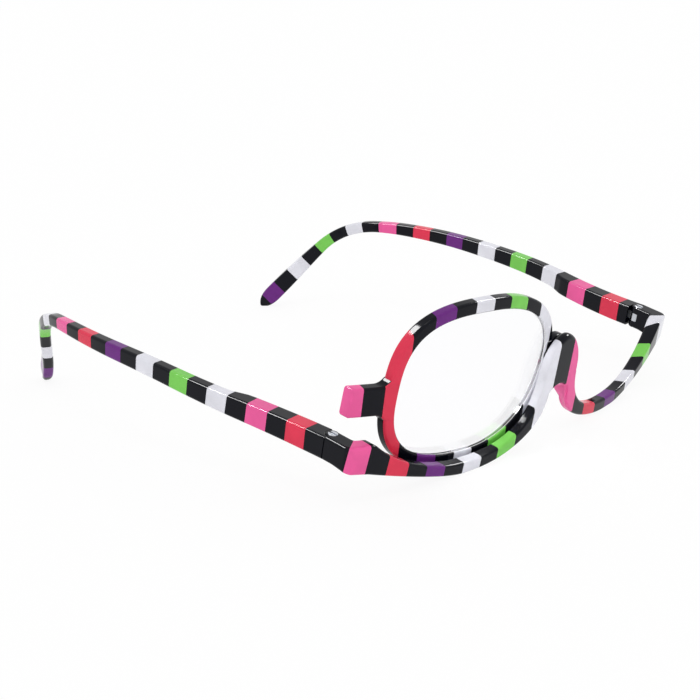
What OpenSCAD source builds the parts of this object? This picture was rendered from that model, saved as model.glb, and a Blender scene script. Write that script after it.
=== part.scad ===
// Reading glasses for putting on make-up: an open-topped front of striped laminated acetate carries
// one magnifying lens in a ring that swings over the bridge from one eye to the other.
// Millimetres. X runs across the face, +Y back along the temples, +Z up. The glasses stand on the two
// half-rims and the two temple tips at Z = 0, and X = Y = 0 is the middle of their footprint.

/* [Front] */
// Width over the two end pieces, mm
front_width = 137; // [133:1:141]
// Lean of the front, its top edge forward, degrees
front_tilt = 13.05; // [10:0.5:15]
// Distance of the front face behind the bridge at the end pieces, mm
front_wrap = 10.6; // [9.5:0.1:11]
// Thickness of the front at the bridge, mm
bridge_thickness = 2.7; // [2.6:0.05:2.75]
// Thickness of the front at the end pieces, mm
end_thickness = 4.4; // [4:0.1:4.5]
// Rounding of the long edges of the front, mm
front_edge = 0.8; // [0.5:0.1:1]
// Half of the width of the bridge block, mm
bridge_half = 6.9; // [6.6:0.1:7.2]
// Height of the rounded top of the bridge block, mm
bridge_dome = 9.5; // [9:0.1:9.8]
// Distance from the middle to the lowest point of a half-rim's opening, mm
eye_x = 33; // [32:0.5:34]
// Depth of a half-rim's opening below the widest line, mm
eye_drop = 20; // [19.5:0.25:20.5]
// Height of the half-rim at its lowest point, mm
rim_height = 3.5; // [3.1:0.1:3.9]
// Half of the width of the nose arch, mm
arch_half = 4.7; // [4.5:0.1:5]
// Height of the rounded top of the nose arch, mm
arch_rise = 4.1; // [3.6:0.1:4.6]
// Reach of the nose pads behind the front face, mm
pad_reach = 5.2; // [4.8:0.1:5.6]

/* [Hinges] */
// Height of the end pieces, mm
end_height = 6.2; // [6:0.1:6.6]
// Distance from the front plane to the hinge screws, mm
hinge_depth = 18.1; // [17.8:0.1:18.6]
// Distance of the hinge screws inside the outer faces, mm
hinge_inset = 2.8; // [2.7:0.05:2.9]
// Radius of the rounded ears, mm
ear_radius = 1.8; // [1.75:0.05:1.85]
// Height of the metal knuckle, mm
knuckle_height = 2.3; // [2.1:0.1:2.4]
// Radius of the hinge screws' shanks, mm
hinge_shank = 0.7; // [0.6:0.05:0.75]
// Radius of the hinge screws' heads, mm
hinge_head = 1.25; // [1.15:0.05:1.3]
// Thickness of the hinge leaves, mm
leaf_thickness = 1.2; // [1:0.1:1.3]
// Reach of the hinge leaves into the temples, mm
leaf_length = 11; // [9:0.5:12]

/* [Temples] */
// Length of a temple along its middle line, mm
temple_length = 148; // [144:1:151]
// Half of the height of a temple at the joint, mm
temple_root = 3; // [2.9:0.05:3.1]
// Half of the height of a temple at its thinnest, mm
temple_waist = 1.55; // [1.4:0.05:1.8]
// Half of the height of a temple at its flat tip, mm
temple_tip = 2.6; // [2.4:0.1:3]
// Distance of a temple's outer face from its middle line at the joint, mm
temple_thick = 2.2; // [2.1:0.05:2.25]
// Distance of a temple's outer face from its middle line at the tip, mm
temple_thin = 1.45; // [1.3:0.05:1.7]
// Distance of a temple's inner face from its middle line at the joint, mm
temple_heel = 3; // [2.8:0.05:3.1]

/* [Lens ring] */
// Half of the length of the oval ring, mm
ring_half_length = 25.8; // [25.2:0.1:26.2]
// Half of the height of the oval ring, mm
ring_half_height = 21.4; // [21:0.1:21.6]
// Fullness of the oval's outer half: 2 is an ellipse, higher is squarer
ring_fullness = 2.85; // [2.7:0.05:3]
// Width of the ring's rim, mm
ring_rim = 3.1; // [2.9:0.1:3.3]
// Depth of the ring from front to back, mm
ring_depth = 3.2; // [3:0.1:3.3]
// Distance that the ring's sheet bends back by the width of the front, mm
ring_wrap = 13.65; // [13:0.05:14.2]
// Reach of the ring's upper corner towards the bridge, mm
ring_flare = 2.9; // [2.6:0.1:3.2]
// Length of the finger tab past the ring, mm
tab_length = 9.9; // [9.1:0.2:10.9]
// Half of the height of the finger tab, mm
tab_half = 3.8; // [3.3:0.1:4.2]
// Radius of the hub on the bridge, mm
hub_radius = 4.8; // [4.6:0.1:5]
// Height of the magnifying lens above its flat edge, mm
lens_bulge = 0.9; // [0.7:0.05:1]

/* [Pivot] */
// Height of the pivot above the front plane's origin, mm
pivot_level = 23.6; // [23.4:0.1:24]
// Radius of the pivot screw's shoulder, mm
shoulder_radius = 1.3; // [1.2:0.05:1.4]
// Radius of the pivot screw's thread, mm
thread_radius = 0.7; // [0.6:0.05:0.75]
// Radius of the pivot screw's head, mm
pivot_head = 2.5; // [2.3:0.1:2.8]
// Outer radius of the bush in the hub, mm
bush_radius = 1.9; // [1.8:0.05:2]
// Radius of the threaded insert in the bridge, mm
insert_radius = 1.5; // [1.4:0.05:1.7]

/* [Fits] */
// Radial clearance of a turning pin, mm
running_fit = 0.04; // [0.03:0.01:0.06]
// Clearance between faces that slide on each other, mm
face_gap = 0.06; // [0.05:0.01:0.08]
// Clearance of a piece that is seated in another, mm
seat_gap = 0.02; // [0.02:0.01:0.03]
// Gap between an end piece and its temple, mm
joint_gap = 0.15; // [0.12:0.01:0.2]

/* [Hidden] */
$fn = 48;
black = "#1c1d24";
steel = "#b9bcc2";
brass = "#b08d4a";

// The front's outline, in its own plane: x across, level up.
end_x = front_width / 2;
eye_level = eye_drop + 3;
eye_outer = end_x - 2.3 - eye_x;
rim_base = eye_level - eye_drop - rim_height;
low_x = eye_x - 2;
low_fall = 2.13;
low_run = 8;
arch_level = 11.5;
dome_level = eye_level - 3;
block_base = eye_level - 6;
wrap_power = 2.3;
opening_inner_power = 2.87;
opening_outer_power = 1.8;
dome_power = 1.8;
end_top = 13.75;
end_bottom = end_top - end_height;
bar_end = end_x - hinge_inset;

// The hinges.
hinge_x = end_x - hinge_inset;
hinge_level = (end_top + end_bottom) / 2;
ear_gap = knuckle_height + 2 * face_gap;
knuckle_radius = ear_radius - 0.15;
notch_radius = ear_radius + 0.25;
head_thickness = 0.6;
nut_radius = 1.2;
nut_height = 1.5;
cut = 60;

// The ring and the pivot, as depths behind the front plane.
pivot_gap = 0.1;
washer_thickness = 0.25;
washer_radius = 3.8;
washer_front = bridge_thickness + pivot_gap;
hub_front = washer_front + washer_thickness + face_gap;
hub_back = hub_front + 2.4;
spring_thickness = 0.2;
spring_front = hub_back + face_gap;
head_front = spring_front + spring_thickness + face_gap;
pivot_head_thickness = 1.1;
insert_depth = 1.8;
slot_width = 0.5;
slot_depth = 0.45;
ring_tilt = 2.6;
ring_x = ring_half_length + hub_radius - 1.6;
ring_level = 22.6;
inner_fullness = 2.15;
wrap_rise = 2.17;
flare_start = 0.18;
ring_edge = 0.7;
tab_round = 0.8;
tab_drop = 1.5;
tab_sink = 1.5;
tab_flare = 1.6;
ring_stations = 64;
groove_depth = 0.9;
groove_half = 0.75;
lens_gap = 0.1;
lens_half = groove_half - lens_gap;
lens_shares = [0.03, 0.3, 0.55, 0.75, 0.9];

// Rise and outward turn of a temple's middle line along its length, in degrees.
temple_rise = [[0, 9.2], [0.203, 12.5], [0.446, 7], [0.595, 3.7], [0.662, -2.3],
    [0.73, -18.9], [0.811, -42.6], [1, -45]];
temple_turn = [[0, -0.4], [0.182, 9.8], [0.324, -0.1], [0.446, -1.7], [0.595, -12],
    [0.73, -10.8], [0.865, -42], [1, -26]];
temple_height = [[0, 1], [0.05, 0.96], [0.16, 0.8], [0.3, 0.56], [0.5, 0.3], [0.66, 0.04],
    [0.76, 0.12]];

// Share of the heel's extra thickness that is left on the inner side.
temple_inside = [[0, 1], [0.165, 1], [0.18, 0.93], [0.21, 0.1], [0.225, 0], [1, 0]];

// The whole object stands on flats cut into the half-rims and tips.
rest_flat = 0.25;
low_front = (rim_base + front_edge) * cos(front_tilt)
    + (front_depth(low_x) + front_edge) * sin(front_tilt) - front_edge;
lift = -low_front - rest_flat;
temple_x = end_x - 2;
temple_stations = 50;
temple_lead = 1.5;
temple_step = (temple_length + temple_lead) / (temple_stations - 1);
temple_start = [temple_x, hinge_depth * cos(front_tilt) - hinge_level * sin(front_tilt),
    hinge_level * cos(front_tilt) + hinge_depth * sin(front_tilt)];
tip_end = temple_path()[len(temple_path()) - 1];
front_most = -(dome_level + bridge_dome) * sin(front_tilt);
middle_y = (front_most + tip_end[1] + 0.6) / 2;

// Signed power and a point of a superellipse.
function signed(v, p) = sign(v) * pow(abs(v), p);
function oval(a, b, n, angle) = [a * signed(cos(angle), 2 / n), b * signed(sin(angle), 2 / n)];

// Depth of the front face behind the front plane, and thickness there, at a distance from the middle.
function front_depth(x) = front_wrap * pow(abs(x) / end_x, wrap_power);
function front_thickness(x) =
    bridge_thickness + (end_thickness - bridge_thickness) * pow(abs(x) / end_x, 2);

// Points of a rectangle around the origin, counter-clockwise, with its own rounding at each end.
function rounded(half_x, half_y, left, right) = [
    for (corner = [[1, 1, 0, right], [-1, 1, 90, left], [-1, -1, 180, left], [1, -1, 270, right]])
        for (k = [0:3])
            let (r = corner[3])
                [corner[0] * (half_x - r) + r * cos(corner[2] + 30 * k),
                 corner[1] * (half_y - r) + r * sin(corner[2] + 30 * k)]];

// Closed skin over a list of loops with the same number of points each.
module skin(loops, closed = false) {
    count = len(loops[0]);
    spans = closed ? len(loops) : len(loops) - 1;
    points = [for (one = loops) each one];
    sides = [for (i = [0:spans - 1])
        for (k = [0:count - 1])
            let (a = i * count, b = ((i + 1) % len(loops)) * count, next = (k + 1) % count)
                each [[a + k, a + next, b + next], [a + k, b + next, b + k]]];
    caps = closed ? [] : [[for (k = [count - 1:-1:0]) k],
        [for (k = [0:count - 1]) (len(loops) - 1) * count + k]];
    polyhedron(points = points, faces = concat(caps, sides), convexity = 8);
}

// Places a shape that is drawn in the leaning front: x across, y backwards, z up its plane.
module in_front() {
    translate([0, -middle_y, lift])
        rotate([front_tilt, 0, 0])
            children();
}

module both_sides() {
    children();
    mirror([1, 0, 0])
        children();
}

// Lower edge of the right half of the front, from the nose arch's top (0) by way of its side (1) and
// the lowest point of the half-rim (2) to the end piece (3).
function lower_edge(t) =
    t < 1 ? [arch_half * sin(90 * t), arch_level + arch_rise * cos(90 * t)]
    : t < 2 ? [low_x - (low_x - arch_half) * cos(90 * (t - 1)),
        arch_level - (arch_level - rim_base) * sin(90 * (t - 1))]
    : let (x = low_x + (bar_end - low_x) * (t - 2))
        [x, rim_base + low_fall * (sqrt(1 + pow((x - low_x) / low_run, 2)) - 1)];

// Upper edge at the same stations: dome, side of the bridge block, opening, end piece.
function upper_edge(t) =
    t < 0.6 ? let (p = oval(bridge_half, bridge_dome, dome_power, 90 - 150 * t))
        [p[0], dome_level + p[1]]
    : t < 1 ? [bridge_half, dome_level - (dome_level - block_base) * (t - 0.6) / 0.4]
    : t < 2 ? let (p = oval(eye_x - bridge_half, eye_drop, opening_inner_power, 8 + 82 * (t - 1)))
        [eye_x - p[0], eye_level - p[1]]
    : let (x = eye_x + (bar_end - eye_x) * (t - 2),
        rise = pow(1 - pow((x - eye_x) / eye_outer, opening_outer_power), 1 / opening_outer_power))
        [x, min(end_top - 0.1, eye_level - eye_drop * rise)];

// Rounded section of the front between its two edges, on the right or, mirrored, on the left.
bar_share = 2 + (bar_end - 3.5 - low_x) / (bar_end - low_x);

function front_loop(t, side) =
    let (low = lower_edge(t), high = upper_edge(t), middle = (low + high) / 2,
        half = norm(high - low) / 2, along = (high - low) / (2 * half),
        thickness = front_thickness(middle[0]),
        crown = front_edge + max(0, 1 - t / 0.7) * (0.48 * thickness - front_edge))
        [for (p = rounded(half, thickness / 2, front_edge, crown))
            let (flat = middle + along * p[0])
                [side * flat[0], front_depth(flat[0]) + thickness / 2 + p[1], flat[1]]];

// Nose pad: a slanted blade that grows out of the arm beside the arch and thins to a round tip.
pad_sections = [[0.1, 1, 3.2], [0.3, 0.95, 2.5], [0.5, 0.85, 1.9], [0.7, 0.7, 1.3],
    [0.85, 0.6, 0.9], [0.95, 0.45, 0.6], [1, 0.25, 0.35]];
pad_slant = 0.3;
pad_splay = 0.28;
pad_base = 9.8;
pad_rise = -0.1;

module nose_pad() {
    skin([for (one = pad_sections)
        [for (angle = [0:22.5:337.5])
            [arch_half + 0.35 + pad_splay * pad_reach * one[0]
                 + one[1] * cos(angle) - pad_slant * one[2] * sin(angle),
             pad_reach * one[0],
             pad_base + pad_rise * one[0] + one[2] * sin(angle)]]]);
}

// End piece: the front turns back round a corner to the hinge. Its outer and inner faces start at the
// bar's last section, run to the corner's two arcs, and then run straight to the hinge.
end_corner = 2.2;
inner_corner = 1;
corner_start = atan(wrap_power * front_wrap / end_x);
bar_tip = [bar_end - 3.5, front_depth(bar_end - 3.5)];
outer_start = end_x - end_corner + end_corner * sin(corner_start);
outer_centre = [end_x - end_corner, front_depth(outer_start) + end_corner * cos(corner_start)];
inner_start = hinge_x - ear_radius - inner_corner * (1 - sin(corner_start));
inner_centre = [hinge_x - ear_radius - inner_corner,
    front_depth(inner_start) + front_thickness(inner_start) + inner_corner * cos(corner_start)];

function outer_face(t) =
    t < 1 ? let (x = bar_tip[0] + (outer_start - bar_tip[0]) * t) [x, front_depth(x)]
    : t < 2 ? let (turn = corner_start + (90 - corner_start) * (t - 1))
        outer_centre + end_corner * [sin(turn), -cos(turn)]
    : [end_x, outer_centre[1] + (hinge_depth - outer_centre[1]) * (t - 2)];

function inner_face(t) =
    t < 1 ? let (x = bar_tip[0] + (inner_start - bar_tip[0]) * t) [x, front_depth(x) + front_thickness(x)]
    : t < 2 ? let (turn = corner_start + (90 - corner_start) * (t - 1))
        inner_centre + inner_corner * [sin(turn), -cos(turn)]
    : [hinge_x - ear_radius, inner_centre[1] + (hinge_depth - inner_centre[1]) * (t - 2)];

function end_loop(t, side) =
    let (outer = outer_face(t), inner = inner_face(t), across = (inner - outer) / norm(inner - outer),
        low = lower_edge(bar_share)[1] + (end_bottom - lower_edge(bar_share)[1]) * min(1, t / 2.5),
        middle = (outer + inner) / 2)
        [for (p = rounded((end_top - low) / 2, norm(inner - outer) / 2, front_edge, front_edge))
            [side * (middle[0] + across[0] * p[1]), middle[1] + across[1] * p[1],
             (end_top + low) / 2 + p[0]]];

// Upright cylinder about the hinge screw's line.
module hinge_round(level, height, radius) {
    translate([hinge_x, hinge_depth, level])
        cylinder(h = height, r = radius);
}

module hinge_cuts() {
    hinge_round(hinge_level - ear_gap / 2, ear_gap, notch_radius);
    translate([hinge_x - cut, hinge_depth - leaf_thickness / 2 - 0.5, hinge_level - ear_gap / 2])
        cube([cut, cut, ear_gap]);
    hinge_round(end_bottom - 1, end_height + 2, hinge_shank + running_fit);
    hinge_round(end_top - head_thickness, 2, hinge_head + running_fit);
    hinge_round(end_bottom - 1, nut_height + 1, nut_radius + seat_gap);
}

// Round about the pivot's line, from one depth to another.
module pivot_round(from, to, radius) {
    translate([0, from, pivot_level])
        rotate([-90, 0, 0])
            cylinder(h = to - from, r = radius);
}

module below_ground() {
    translate([-2 * cut, -2 * cut, -cut])
        cube([4 * cut, 6 * cut, cut]);
}

module front_frame() {
    color(black)
        difference() {
            in_front()
                difference() {
                    union() {
                        skin(concat(
                            [for (t = [3:-0.25:0.25]) end_loop(t, -1)],
                            [for (k = [38:-1:1]) front_loop(k * bar_share / 39, -1)],
                            [for (k = [0:38]) front_loop(k * bar_share / 39, 1)],
                            [for (t = [0.25:0.25:3]) end_loop(t, 1)]));
                        both_sides() {
                            nose_pad();
                            hinge_round(end_bottom, end_height, ear_radius);
                        }
                    }
                    both_sides()
                        hinge_cuts();
                    pivot_round(bridge_thickness - insert_depth - 0.1, cut, insert_radius + seat_gap);
                }
            below_ground();
        }
}

module hinge_nuts() {
    color(steel)
        in_front()
            both_sides()
                difference() {
                    hinge_round(end_bottom + 0.1, nut_height - 0.1, nut_radius);
                    hinge_round(end_bottom - 1, end_height, hinge_shank + seat_gap);
                }
}

module hinge_screws() {
    color(steel)
        in_front()
            both_sides()
                difference() {
                    union() {
                        hinge_round(end_bottom + 0.2, end_height - 0.5, hinge_shank);
                        hinge_round(end_top - head_thickness + seat_gap, head_thickness, hinge_head);
                    }
                    translate([hinge_x - slot_width / 2, hinge_depth - 2, end_top - slot_depth])
                        cube([slot_width, 4, 2]);
                }
}

// Leaf and middle knuckle of the right hinge.
module hinge_tongue() {
    color(steel)
        difference() {
            union() {
                hinge_round(hinge_level - knuckle_height / 2, knuckle_height, knuckle_radius);
                translate([hinge_x - leaf_thickness / 2, hinge_depth,
                    hinge_level - knuckle_height / 2])
                    cube([leaf_thickness, leaf_length, knuckle_height]);
            }
            hinge_round(end_bottom, end_height, hinge_shank + running_fit);
        }
}

module hinge_tongue_right() {
    in_front()
        hinge_tongue();
}

module hinge_tongue_left() {
    in_front()
        mirror([1, 0, 0])
            hinge_tongue();
}

function heading(part) =
    let (rise = lookup(part, temple_rise), turn = lookup(part, temple_turn))
        [cos(rise) * sin(turn), cos(rise) * cos(turn), sin(rise)];

// Part of the length at a station: the first lies before the joint, so that the joint is cut flat.
function temple_part(i) = (i * temple_step - temple_lead) / temple_length;

function temple_path() = [
    for (i = 0, p = temple_start - temple_lead * heading(0); i < temple_stations;
         p = p + temple_step * heading(temple_part(i + 0.5)), i = i + 1) p];

function temple_half(part) =
    part < 0.76 ? temple_waist + (temple_root - temple_waist) * lookup(part, temple_height)
    : let (swell = (1 - cos(180 * min(1, (part - 0.76) / 0.2))) / 2, start = 0.88 * temple_waist
        + 0.12 * temple_root)
        start + (temple_tip - start) * swell;

// The last stretch is rounded off like the end of a paddle.
function tip_round(part) = part < 0.975 ? 1 : sqrt(1 - pow(0.96 * (part - 0.975) / 0.025, 2));

function temple_loops(settle) = let (line = temple_path()) [
    for (i = [0:temple_stations - 1])
        let (part = temple_part(i), along = heading(part), aside = cross(along, [0, 0, 1]),
            side = aside / norm(aside), up = cross(side, along),
            outer = temple_thick + (temple_thin - temple_thick) * part,
            inner = temple_thin + (temple_heel - temple_thin) * lookup(part, temple_inside),
            thick = (outer + inner) / 2 * tip_round(part),
            half = temple_half(part) * tip_round(part),
            middle = line[i] + [0, 0, settle * part] + side * (outer - inner) / 2,
            edge = 0.4 * min(thick, 2.2))
            [for (p = rounded(thick, half, edge, edge)) middle + side * p[0] + up * p[1]]];

tip_low = min([for (one = temple_loops(0)) for (p = one) p[2]]);

module temple() {
    color(black)
        difference() {
            translate([0, -middle_y, lift])
                skin(temple_loops(-rest_flat - lift - tip_low));
            in_front() {
                translate([hinge_x - cut / 2, hinge_depth + joint_gap - cut, -cut / 2])
                    cube([cut, cut, 2 * cut]);
                translate([hinge_x - cut, hinge_depth + notch_radius - cut, -cut / 2])
                    cube([cut, cut, 2 * cut]);
                hinge_round(-cut / 2, 2 * cut, notch_radius);
                translate([hinge_x - leaf_thickness / 2 - seat_gap, hinge_depth,
                    hinge_level - knuckle_height / 2 - seat_gap])
                    cube([leaf_thickness + 2 * seat_gap, leaf_length + seat_gap,
                        knuckle_height + 2 * seat_gap]);
            }
            below_ground();
        }
}

module temple_right() {
    temple();
}

module temple_left() {
    mirror([1, 0, 0])
        temple();
}

module pivot_insert() {
    color(brass)
        in_front()
            difference() {
                pivot_round(bridge_thickness - insert_depth, bridge_thickness - 0.05, insert_radius);
                pivot_round(0, bridge_thickness + 1, thread_radius + seat_gap);
            }
}

module pivot_screw() {
    color(steel)
        in_front()
            difference() {
                union() {
                    pivot_round(bridge_thickness - insert_depth + 0.2, head_front, thread_radius);
                    pivot_round(bridge_thickness + 0.05, head_front + 0.5, shoulder_radius);
                    pivot_round(head_front, head_front + pivot_head_thickness, pivot_head);
                }
                translate([-slot_width / 2, head_front + pivot_head_thickness - slot_depth,
                    pivot_level - cut / 2])
                    cube([slot_width, 2, cut]);
            }
}

module friction_washer() {
    color("#26262a")
        in_front()
            difference() {
                pivot_round(washer_front, washer_front + washer_thickness, washer_radius);
                pivot_round(0, cut, shoulder_radius + pivot_gap);
            }
}

module spring_washer() {
    color(steel)
        in_front()
            difference() {
                pivot_round(spring_front, spring_front + spring_thickness, pivot_head - 0.3);
                pivot_round(0, cut, shoulder_radius + pivot_gap);
            }
}

module pivot_bush() {
    color(brass)
        in_front()
            difference() {
                pivot_round(hub_front, hub_back, bush_radius);
                pivot_round(0, cut, shoulder_radius + running_fit);
            }
}

// The ring's outer edge: an oval whose upper corner reaches further towards the bridge.
function ring_edge_at(angle) =
    let (p = oval(ring_half_length, ring_half_height,
            cos(angle) > 0 ? inner_fullness : ring_fullness, angle),
        up = max(0, p[1] / ring_half_height + flare_start))
        [p[0] * (1 + max(0, sign(p[0])) * ring_flare / ring_half_length * pow(up, 1.2)), p[1]];

// Point of the ring's outer edge, moved inwards square to it.
function ring_point(angle, inward) =
    let (run = ring_edge_at(angle + 0.5) - ring_edge_at(angle - 0.5))
        ring_edge_at(angle) + inward * [-run[1], run[0]] / norm(run);

// The ring, its hub and its tab are cut from one sheet that is bent back to both sides like the front.
function sheet_depth(x) = hub_front + ring_wrap * pow(abs(x) / end_x, wrap_rise);

// Point of that sheet, a depth behind its front face; flat is a point in the oval's own axes.
function on_sheet(flat, depth) =
    let (x = flat[0] * cos(ring_tilt) + flat[1] * sin(ring_tilt) - ring_x)
        [x, sheet_depth(x) + depth,
         ring_level - flat[0] * sin(ring_tilt) + flat[1] * cos(ring_tilt)];

function ring_section() = concat(
    rounded(ring_rim / 2, ring_depth / 2, ring_edge, ring_edge),
    [[ring_rim / 2, -groove_half], [ring_rim / 2 - groove_depth, -groove_half],
     [ring_rim / 2 - groove_depth, groove_half], [ring_rim / 2, groove_half]]);

// Finger tab, from its rounded free end to where it flares into the ring.
tab_stations = [0, 0.12, 0.4, tab_round, 3, 6, tab_length - 3, tab_length - 1.5, tab_length - 0.5,
    tab_length + tab_sink];

module tab() {
    skin([for (run = tab_stations)
        let (ease = run < tab_round ? tab_round - sqrt(pow(tab_round, 2) - pow(tab_round - run, 2)) : 0,
            near = max(0, (run - tab_length + 3) / 3),
            half = tab_half - ease + tab_flare * pow(min(1, near), 2.5),
            deep = ring_depth / 2 - 0.1 - 0.6 * ease)
            [for (p = rounded(half, deep, ring_edge, ring_edge))
                on_sheet([-ring_half_length - tab_length + run, p[0] - tab_drop],
                    ring_depth / 2 + p[1])]]);
}

module lens_ring() {
    color(black)
        in_front()
            difference() {
                union() {
                    skin([for (k = [0:ring_stations - 1])
                        [for (p = ring_section())
                            on_sheet(ring_point(360 * k / ring_stations, ring_rim / 2 + p[0]),
                                ring_depth / 2 + p[1])]],
                        closed = true);
                    tab();
                    pivot_round(hub_front, hub_back, hub_radius);
                    translate([-hub_radius + 0.4, hub_front, pivot_level - hub_radius + 0.8])
                        cube([hub_radius - 0.4, hub_back - hub_front - 0.15, 2 * hub_radius - 1.6]);
                }
                translate([-cut, hub_front - cut, -cut / 2])
                    cube([2 * cut, cut, 2 * cut]);
                pivot_round(0, cut, bush_radius + seat_gap);
            }
}

// Loop of the lens at a share of its size. Its middle is flat, so that it closes in a plane.
function lens_loop(share, depth) = [
    for (k = [0:ring_stations - 1])
        let (flat = ring_point(360 * k / ring_stations, ring_rim - groove_depth + lens_gap),
            p = on_sheet(share * flat, depth))
            share > lens_shares[0] ? p : [p[0], sheet_depth(ring_x) + depth, p[2]]];

// Magnifying lens: bent like the ring, flat-edged in its groove, and thicker towards the middle.
module lens() {
    middle = ring_depth / 2;
    color("#dfe6ee")
        in_front()
            skin(concat(
                [for (share = lens_shares)
                    lens_loop(share, middle - lens_half - lens_bulge * (1 - pow(share, 2)))],
                [lens_loop(1, middle - lens_half), lens_loop(1, middle + lens_half)],
                [for (k = [len(lens_shares) - 1:-1:0]) lens_loop(lens_shares[k], middle + lens_half)]));
}

front_frame();
hinge_nuts();
hinge_screws();
pivot_insert();
friction_washer();
pivot_screw();
spring_washer();
pivot_bush();
lens_ring();
lens();
temple_left();
temple_right();
hinge_tongue_left();
hinge_tongue_right();
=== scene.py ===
import math
import bpy
import numpy as np
from mathutils import Matrix, Vector


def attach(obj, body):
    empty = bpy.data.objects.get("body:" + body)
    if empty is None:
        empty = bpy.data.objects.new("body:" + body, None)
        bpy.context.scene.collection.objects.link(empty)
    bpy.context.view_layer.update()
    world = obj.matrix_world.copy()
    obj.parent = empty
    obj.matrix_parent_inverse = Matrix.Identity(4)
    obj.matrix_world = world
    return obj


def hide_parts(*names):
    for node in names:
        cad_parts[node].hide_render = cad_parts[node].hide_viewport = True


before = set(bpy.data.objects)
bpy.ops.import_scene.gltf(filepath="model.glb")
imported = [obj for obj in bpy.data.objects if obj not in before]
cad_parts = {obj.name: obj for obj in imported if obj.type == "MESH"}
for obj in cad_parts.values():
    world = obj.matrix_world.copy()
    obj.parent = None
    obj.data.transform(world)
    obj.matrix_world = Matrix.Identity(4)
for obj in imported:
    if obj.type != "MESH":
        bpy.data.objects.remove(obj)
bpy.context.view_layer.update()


# Camera.
# The glasses stand on a pale table. The camera looks at the front from the wearer's right and a
# little from above, through a long lens, and leans by less than two degrees.

eye_point = Vector((-0.35561, -0.31779, 0.15764))
aim_point = Vector((-0.07536, -0.07059, 0.04244))
camera = bpy.data.objects.new("camera", bpy.data.cameras.new("camera"))
camera.data.sensor_width = 36
camera.data.lens = 92.1
camera.data.clip_start = 0.01
lean = Matrix.Rotation(math.radians(-1.79), 3, "Z")
aimed = (aim_point - eye_point).to_track_quat("-Z", "Y").to_matrix() @ lean
camera.matrix_world = Matrix.Translation(eye_point) @ aimed.to_4x4()
bpy.context.scene.collection.objects.link(camera)
bpy.context.scene.camera = camera
bpy.context.scene.view_settings.view_transform = "Standard"


# Front.
# One bar of laminated acetate, 2.7 mm thick at the bridge and 4.4 mm at the ends, milled flat, bent with
# heat and tumbled. Two half-rims that are open at the top hang from the bridge, and each end turns back
# round a corner to a slotted hinge ear.

# Sizes in mm, in the front's own leaning plane: x across, w back from it and v up it.
TILT = math.radians(13.05)
FOOTPRINT = np.array([0, 70.5867, 0.3093])  # from the plane's origin to the middle of the footprint
BAR_X, END_X = 62.2, 68.5  # where the bar becomes the corner, and the outer face of the end
HINGE_X, HINGE_W = 65.7, 18.1  # hinge line
PIVOT_V = 23.6  # height of the ring's pivot
BEND, BEND_POWER = 10.6, 2.3  # how far back the sheet is bent at END_X, and how suddenly
THIN, THICKER = 2.7, 1.7  # thickness at the bridge, and how much more there is at the ends
ROUND = 0.7  # radius of the edges
ARCH_X, ARCH_V, ARCH_RISE = 4.7, 11.5, 4.1  # foot of the nose arch, and its height
RIM_X, RIM_V = 31.0, -0.5  # lowest point of a half-rim
BLOCK_X, DOME_V, DOME_RISE = 6.9, 20.0, 9.5  # half the bridge block's width, its dome's foot and height
DOME_END, BLOCK_DROP = 0.6, 2.06  # t where the dome ends, and the straight side below it
OPENING_X, OPENING_V, OPENING_DEEP = 33.0, 23.0, 20.0  # centre of an opening's curve, and its depth
OUTER_RADIUS, INNER_RADIUS, INNER_INSET = 2.2, 1.0, 5.6  # of the corner's two faces
EAR_LOW, EAR_V, EAR_TOP, EAR_RADIUS = 7.55, 10.65, 13.75, 1.8  # hinge ear: bottom, middle, top, end
LEAN, LEAN_V, LEAN_X = 0.1, 10, 60  # a strip's joint leans so, mm a mm of height above LEAN_V, at LEAN_X

# Cellulose acetate sheet, bonded from strips 6 mm wide and cut across, so that every piece shows the
# same run of colours. The polish gives it a deep gloss, and the coloured strips have a faint pearl.
BLACK, PINK, RED = "#0a0b14", "#ee5f9f", "#e23a55"
PURPLE, GREEN, WHITE = "#6c2a80", "#7bcd5a", "#e4e4ec"
front_run = [BLACK, PINK, BLACK, RED, BLACK, PURPLE, BLACK, WHITE, BLACK, GREEN, BLACK, WHITE]


def linear(code):
    """Linear colour of an sRGB hex code: c / 12.92 up to 0.04045, ((c + 0.055) / 1.055)^2.4 above."""
    channel = np.array([int(code[i:i + 2], 16) for i in (1, 3, 5)]) / 255
    return (*np.where(channel <= 0.04045, channel / 12.92, ((channel + 0.055) / 1.055) ** 2.4), 1.0)


def add(tree, kind, sockets=(), **settings):
    """Adds a node; settings go to its properties, and each socket gets a value or a link."""
    node = tree.nodes.new("ShaderNode" + kind)
    for name, value in settings.items():
        setattr(node, name, value)
    for name, value in dict(sockets).items():
        if isinstance(value, bpy.types.NodeSocket):
            tree.links.new(value, node.inputs[name])
        else:
            node.inputs[name].default_value = value
    return node


def blank(name):
    """New material with an empty node tree."""
    made = bpy.data.materials.new(name)
    made.use_nodes = True
    made.node_tree.nodes.clear()
    return made


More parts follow.
